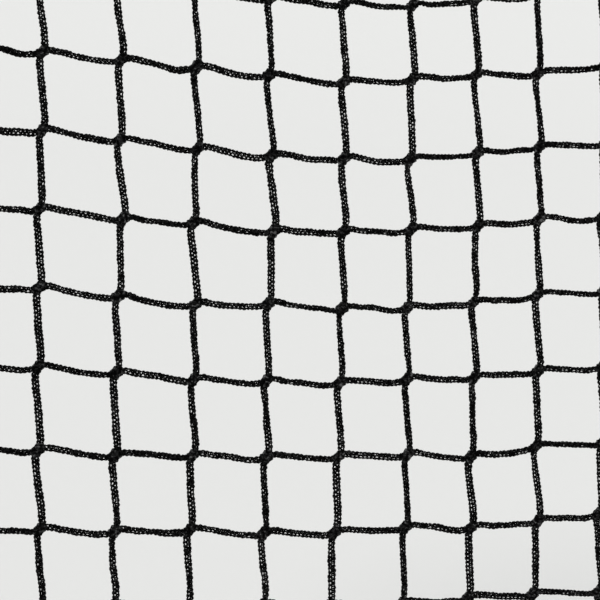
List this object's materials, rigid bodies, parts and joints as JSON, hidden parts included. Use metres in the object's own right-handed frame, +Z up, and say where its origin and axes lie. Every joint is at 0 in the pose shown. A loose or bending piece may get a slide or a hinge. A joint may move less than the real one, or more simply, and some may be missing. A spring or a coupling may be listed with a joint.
{
  "type": "pitching target net",
  "caption": "Free-standing pitching target: knotless netting with a strap rectangle, hung by elastic ball loops in a leaning steel tube frame with a folding rear stand.",
  "frame": {"origin": "middle of the underside of the whole part, on the floor", "axes": "+Z up, +X to the right and +Y to the back as seen by the pitcher, who faces the netting's front (-Y side)"},
  "size_m": [0.8004, 0.7052, 1.2901],
  "materials": {
    "tube_coat": "satin black powder coat",
    "bracket_coat": "satin black powder coat on pressed steel",
    "zinc_hardware": "bright zinc plate",
    "rivet_metal": "plain aluminium",
    "spring_steel": "oiled spring steel",
    "nickel_button": "nickel plate",
    "moulded_nylon": "moulded, fine texture",
    "foot_plastic": "moulded, fine texture",
    "knob_plastic": "moulded, satin",
    "brass_insert": "turned",
    "nylon_washer": "natural nylon",
    "netting_yarn": "knotless knitted black yarn",
    "hem_webbing": "woven webbing",
    "target_webbing": "woven webbing",
    "grommet_metal": "pressed brass",
    "elastic_cord": "braided cover over rubber",
    "ball_plastic": "moulded gloss"
  },
  "bodies": {
    "frame": {"left_upright": "tube_coat", "left_rail_bracket": "moulded_nylon", "left_front_foot": "foot_plastic", "left_hinge_bracket": "bracket_coat", "left_pivot_bolt": "zinc_hardware", "left_stop_bolt": "zinc_hardware", "right_upright": "tube_coat", "right_rail_bracket": "moulded_nylon", "right_front_foot": "foot_plastic", "right_hinge_bracket": "bracket_coat", "right_pivot_bolt": "zinc_hardware", "right_stop_bolt": "zinc_hardware", "top_bow": "tube_coat", "bottom_rail": "tube_coat", "rail_screws": "zinc_hardware", "front_foot_screws": "zinc_hardware", "pivot_washers": "nylon_washer", "netting": "netting_yarn", "grommets": "grommet_metal", "bungee_loops": "elastic_cord", "bungee_balls": "ball_plastic", "bracket_bolts": "zinc_hardware", "bracket_nuts": "zinc_hardware", "left_bow_button_spring": "spring_steel", "right_bow_button_spring": "spring_steel", "hem_top": "hem_webbing", "hem_bottom": "hem_webbing", "hem_right": "hem_webbing", "hem_left": "hem_webbing", "target_strap_top": "target_webbing", "target_strap_bottom": "target_webbing", "target_strap_left": "target_webbing", "target_strap_right": "target_webbing"},
    "rear_stand": {"left_rear_leg": "tube_coat", "right_rear_leg": "tube_coat", "left_leg_knuckle": "moulded_nylon", "right_leg_knuckle": "moulded_nylon", "knuckle_rivets": "rivet_metal", "rear_bow": "tube_coat", "left_rear_foot": "foot_plastic", "right_rear_foot": "foot_plastic", "rear_foot_screws": "zinc_hardware", "left_leg_button_spring": "spring_steel", "right_leg_button_spring": "spring_steel"},
    "left_knob": {"left_knob": "knob_plastic", "left_knob_insert": "brass_insert"},
    "right_knob": {"right_knob": "knob_plastic", "right_knob_insert": "brass_insert"},
    "left_bow_button": {"left_bow_button": "nickel_button"},
    "right_bow_button": {"right_bow_button": "nickel_button"},
    "left_leg_button": {"left_leg_button": "nickel_button"},
    "right_leg_button": {"right_leg_button": "nickel_button"}
  },
  "joints": [
    {"name": "rear_stand_fold", "type": "hinge", "parent": "frame", "child": "rear_stand", "pos_m": [0, -0.07848, 0.95057], "axis": [1, 0, 0], "range_deg": [-32, 0]},
    {"name": "left_knob_turn", "type": "hinge", "parent": "frame", "child": "left_knob", "pos_m": [-0.38525, -0.07848, 0.95057], "axis": [-1, 0, 0], "continuous": true},
    {"name": "right_knob_turn", "type": "hinge", "parent": "frame", "child": "right_knob", "pos_m": [0.38525, -0.07848, 0.95057], "axis": [1, 0, 0], "continuous": true},
    {"name": "left_bow_button_press", "type": "slide", "parent": "frame", "child": "left_bow_button", "axis": [1, 0, 0], "range_m": [0, 0.0039], "stiffness_N_per_m": 2500, "springref_m": -0.002, "deforming": ["left_bow_button_spring"]},
    {"name": "right_bow_button_press", "type": "slide", "parent": "frame", "child": "right_bow_button", "axis": [-1, 0, 0], "range_m": [0, 0.0039], "stiffness_N_per_m": 2500, "springref_m": -0.002, "deforming": ["right_bow_button_spring"]},
    {"name": "left_leg_button_press", "type": "slide", "parent": "rear_stand", "child": "left_leg_button", "axis": [1, 0, 0], "range_m": [0, 0.0039], "stiffness_N_per_m": 2500, "springref_m": -0.002, "deforming": ["left_leg_button_spring"]},
    {"name": "right_leg_button_press", "type": "slide", "parent": "rear_stand", "child": "right_leg_button", "axis": [-1, 0, 0], "range_m": [0, 0.0039], "stiffness_N_per_m": 2500, "springref_m": -0.002, "deforming": ["right_leg_button_spring"]}
  ]
}
